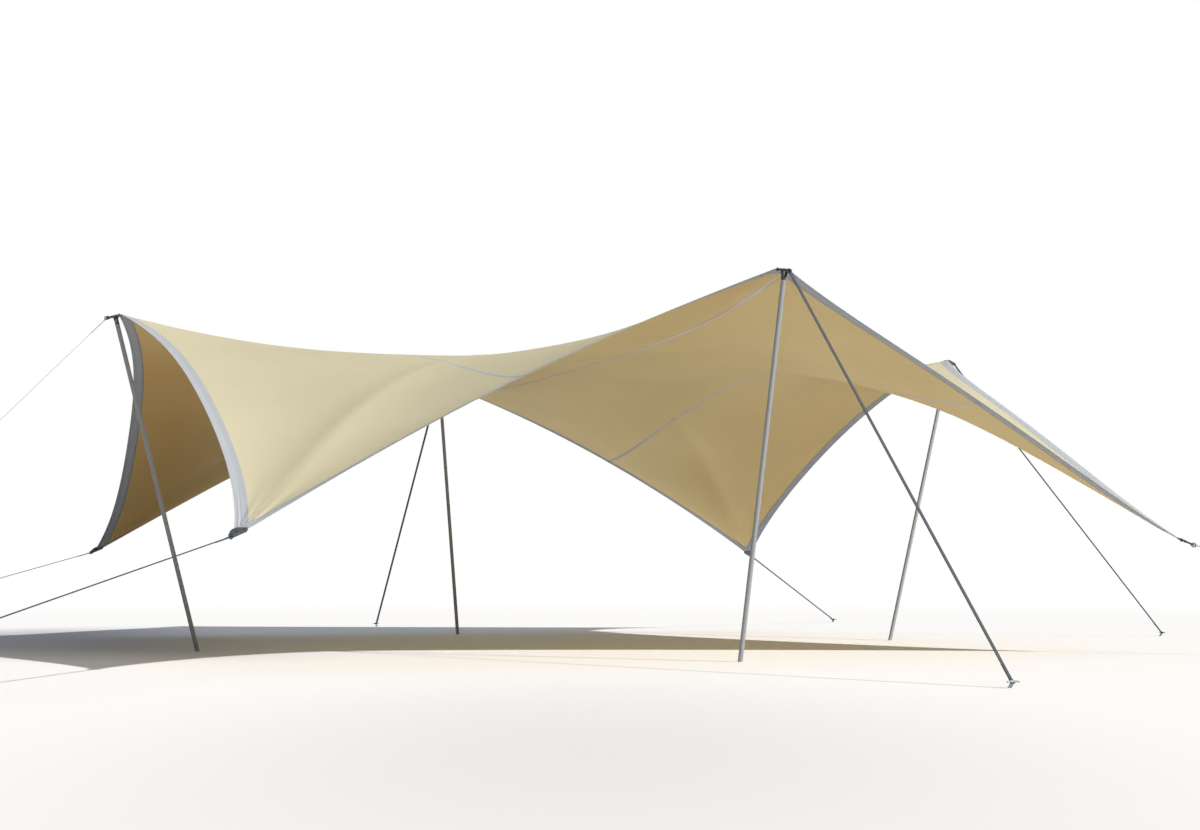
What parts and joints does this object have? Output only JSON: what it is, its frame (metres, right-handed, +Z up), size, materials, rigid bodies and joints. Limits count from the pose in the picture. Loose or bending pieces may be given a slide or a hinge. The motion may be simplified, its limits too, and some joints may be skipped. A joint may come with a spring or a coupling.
{
  "type": "stretch tent",
  "caption": "Open star-shaped stretch tent: a saddle-curved fabric canopy on leaning poles, with its low corners and high points guyed to ground stakes by webbing straps.",
  "frame": {"origin": "on the ground under the middle of the canopy", "axes": "+Z up; the high points are on the X and Y axes and the low corners on the diagonals; the seams of the canopy run along Y; the front high point is at -Y"},
  "size_m": [13.929, 13.929, 2.9118],
  "materials": {
    "canopy_fabric": "matte knitted stretch fabric, sand coloured",
    "hem_fabric": "matte grey reinforcing tape",
    "pole_metal": "satin tube",
    "dark_steel": "satin dark grey coat",
    "stake_steel": "zinc plated",
    "strap_webbing": "slate grey woven webbing"
  },
  "bodies": {
    "root": {"canopy_panel_left_outer": "canopy_fabric", "canopy_panel_left_inner": "canopy_fabric", "canopy_panel_right_inner": "canopy_fabric", "canopy_panel_right_outer": "canopy_fabric", "hem_front": "hem_fabric", "hem_right": "hem_fabric", "hem_back": "hem_fabric", "hem_left": "hem_fabric", "corner_plate_front": "dark_steel", "corner_plate_right": "dark_steel", "corner_plate_back": "dark_steel", "corner_plate_left": "dark_steel", "corner_plate_front_left": "dark_steel", "corner_plate_front_right": "dark_steel", "corner_plate_back_right": "dark_steel", "corner_plate_back_left": "dark_steel", "fork_front": "dark_steel", "fork_right": "dark_steel", "fork_back": "dark_steel", "fork_left": "dark_steel", "pole_front_lower": "pole_metal", "pole_front_middle": "pole_metal", "pole_front_upper": "pole_metal", "pole_right_lower": "pole_metal", "pole_right_middle": "pole_metal", "pole_right_upper": "pole_metal", "pole_back_lower": "pole_metal", "pole_back_middle": "pole_metal", "pole_back_upper": "pole_metal", "pole_left_lower": "pole_metal", "pole_left_middle": "pole_metal", "pole_left_upper": "pole_metal", "shackle_front_left": "dark_steel", "shackle_front_right": "dark_steel", "shackle_back_right": "dark_steel", "shackle_back_left": "dark_steel", "strap_front": "strap_webbing", "strap_right": "strap_webbing", "strap_back": "strap_webbing", "strap_left": "strap_webbing", "strap_front_left": "strap_webbing", "strap_front_right": "strap_webbing", "strap_back_right": "strap_webbing", "strap_back_left": "strap_webbing", "stake_front": "stake_steel", "stake_right": "stake_steel", "stake_back": "stake_steel", "stake_left": "stake_steel", "stake_front_left": "stake_steel", "stake_front_right": "stake_steel", "stake_back_right": "stake_steel", "stake_back_left": "stake_steel"}
  },
  "joints": []
}
